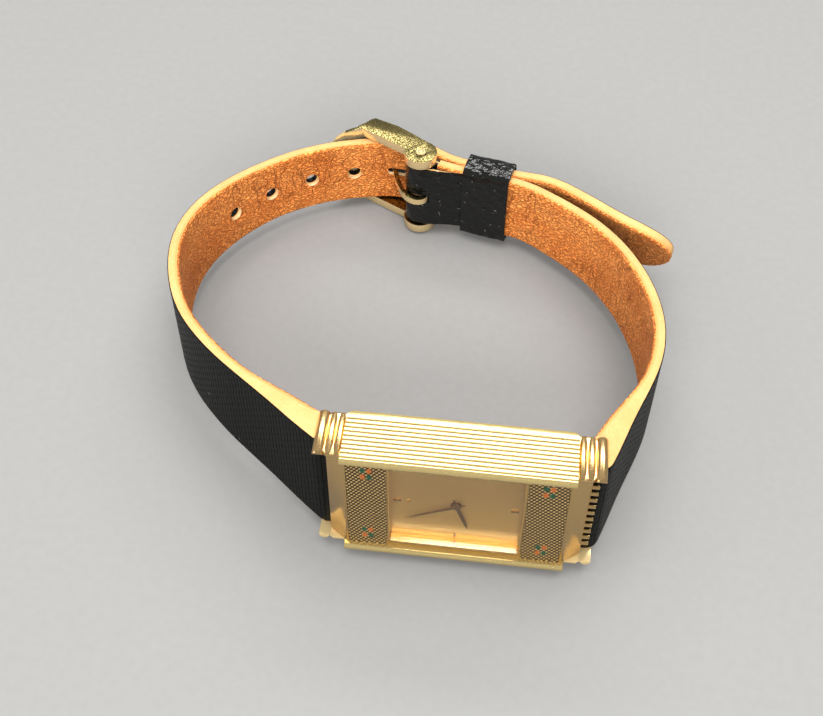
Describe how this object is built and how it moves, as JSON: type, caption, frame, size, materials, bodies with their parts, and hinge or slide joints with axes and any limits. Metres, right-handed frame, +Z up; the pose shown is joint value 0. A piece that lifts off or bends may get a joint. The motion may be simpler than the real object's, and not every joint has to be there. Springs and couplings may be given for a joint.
{
  "type": "rectangular watch",
  "caption": "Rectangular watch with fluted side rails, engraved end panels, square window, two hands and a buckled two-layer leather strap with keeper and tang buckle.",
  "frame": {"origin": "centre of the bounding box in plan, on the surface that the watch stands on", "axes": "+X along the case towards 12 o'clock, +Y from the glass towards the buckle, +Z up from the 3 o'clock side to the 9 o'clock side, leaned back 3.7 degrees onto the buckle"},
  "size_m": [0.0636, 0.0606, 0.0197],
  "materials": {
    "case_gold": "polished gold plate",
    "fluted_gold": "fine fluted gold plate",
    "buckle_gold": "worn brushed gold plate",
    "brass_works": "plain brass",
    "dial_gold": "brushed champagne gold",
    "panel_gold": "engraved linen texture",
    "hand_gold": "polished gold plate",
    "enamel_rust": "hard enamel",
    "enamel_green": "hard enamel",
    "crystal": "clear mineral glass",
    "gasket": "matt",
    "steel": "brushed",
    "copper_coil": "enamelled copper wire",
    "magnet": "sintered",
    "board": "circuit board",
    "holder_plastic": "moulded plastic",
    "black_leather": "creased lizard grain, semi gloss",
    "tan_lining": "fine wrinkled calf",
    "patent_leather": "glossy, crinkled"
  },
  "bodies": {
    "watch": {"back_gasket": "gasket", "bar_springs": "steel", "battery": "steel", "battery_clip": "steel", "bezel_frame": "case_gold", "bridge_screws": "steel", "case_back": "steel", "case_middle": "case_gold", "circuit_board": "board", "coil": "copper_coil", "crown_tube": "steel", "crystal": "crystal", "crystal_gasket": "gasket", "dial": "dial_gold", "dial_markers": "hand_gold", "dial_ring": "case_gold", "enamel_green": "enamel_green", "enamel_rust": "enamel_rust", "end_panel_12": "panel_gold", "end_panel_6": "panel_gold", "keeper": "patent_leather", "lug_12_lower": "case_gold", "lug_12_upper": "case_gold", "lug_6_lower": "case_gold", "lug_6_upper": "case_gold", "main_plate": "brass_works", "movement_holder": "holder_plastic", "resonator": "steel", "side_rail_3": "fluted_gold", "side_rail_9": "fluted_gold", "spring_bar_12": "steel", "spring_bar_6": "steel", "stator": "steel", "strap_long_lining": "tan_lining", "strap_long_outer": "black_leather", "strap_short_fold": "patent_leather", "strap_short_lining": "tan_lining", "strap_short_outer": "black_leather", "train_bridge": "steel"},
    "minute_works": {"minute_hand": "hand_gold", "cannon_pinion": "steel", "centre_wheel": "brass_works"},
    "hour_works": {"hour_hand": "hand_gold", "hour_wheel": "brass_works"},
    "minute_wheel": {"minute_wheel": "brass_works"},
    "third_wheel": {"third_wheel": "brass_works"},
    "rotor": {"rotor": "magnet"},
    "crown_pull": {"setting_lever": "steel"},
    "crown": {"crown": "case_gold", "stem": "steel"},
    "tip_12_upper": {"bar_tip_12_upper": "steel"},
    "tip_12_lower": {"bar_tip_12_lower": "steel"},
    "tip_6_upper": {"bar_tip_6_upper": "steel"},
    "tip_6_lower": {"bar_tip_6_lower": "steel"},
    "buckle": {"buckle_frame": "buckle_gold", "buckle_pin": "buckle_gold"},
    "tang": {"buckle_tang": "buckle_gold"}
  },
  "joints": [
    {"name": "minute_hand_turn", "type": "hinge", "parent": "watch", "child": "minute_works", "pos_m": [0.00758, -0.02677, 0.01053], "axis": [0, 0.9979, -0.0643], "continuous": true},
    {"name": "hour_hand_turn", "type": "hinge", "parent": "watch", "child": "hour_works", "pos_m": [0.00758, -0.02677, 0.01053], "axis": [0, 0.9979, -0.0643], "continuous": true},
    {"name": "minute_wheel_turn", "type": "hinge", "parent": "watch", "child": "minute_wheel", "pos_m": [0.00758, -0.02692, 0.00813], "axis": [0, 0.9979, -0.0643], "continuous": true},
    {"name": "third_wheel_turn", "type": "hinge", "parent": "watch", "child": "third_wheel", "pos_m": [0.00896, -0.0252, 0.01159], "axis": [0, 0.9979, -0.0643], "continuous": true},
    {"name": "rotor_turn", "type": "hinge", "parent": "watch", "child": "rotor", "pos_m": [0.01027, -0.02517, 0.01207], "axis": [0, 0.9979, -0.0643], "continuous": true},
    {"name": "crown_pull", "type": "slide", "parent": "watch", "child": "crown_pull", "axis": [0, -0.0643, -0.9979], "range_m": [0, 0.0008]},
    {"name": "crown_turn", "type": "hinge", "parent": "crown_pull", "child": "crown", "pos_m": [0.00758, -0.0264, 0.00149], "axis": [0, -0.0643, -0.9979], "continuous": true},
    {"name": "tip_12_upper_press", "type": "slide", "parent": "watch", "child": "tip_12_upper", "axis": [0, -0.0643, -0.9979], "range_m": [0, 0.0006], "stiffness_N_per_m": 2, "springref_m": -0.0005},
    {"name": "tip_12_lower_press", "type": "slide", "parent": "watch", "child": "tip_12_lower", "axis": [0, 0.0643, 0.9979], "range_m": [0, 0.0006], "stiffness_N_per_m": 2, "springref_m": -0.0005},
    {"name": "tip_6_upper_press", "type": "slide", "parent": "watch", "child": "tip_6_upper", "axis": [0, -0.0643, -0.9979], "range_m": [0, 0.0006], "stiffness_N_per_m": 2, "springref_m": -0.0005},
    {"name": "tip_6_lower_press", "type": "slide", "parent": "watch", "child": "tip_6_lower", "axis": [0, 0.0643, 0.9979], "range_m": [0, 0.0006], "stiffness_N_per_m": 2, "springref_m": -0.0005},
    {"name": "buckle_lift", "type": "hinge", "parent": "watch", "child": "buckle", "pos_m": [-0.00232, 0.02333, 0.0073], "axis": [0, -0.0643, -0.9979], "range_deg": [0, 8]},
    {"name": "tang_lift", "type": "hinge", "parent": "buckle", "child": "tang", "pos_m": [-0.00232, 0.02333, 0.0073], "axis": [0, -0.0643, -0.9979], "range_deg": [0, 8]}
  ],
  "couplings": [
    {"joint": "hour_hand_turn", "follows": "minute_hand_turn", "ratio": 0.083333},
    {"joint": "minute_wheel_turn", "follows": "minute_hand_turn", "ratio": -0.33333},
    {"joint": "third_wheel_turn", "follows": "minute_hand_turn", "ratio": -5},
    {"joint": "rotor_turn", "follows": "minute_hand_turn", "ratio": 30}
  ]
}
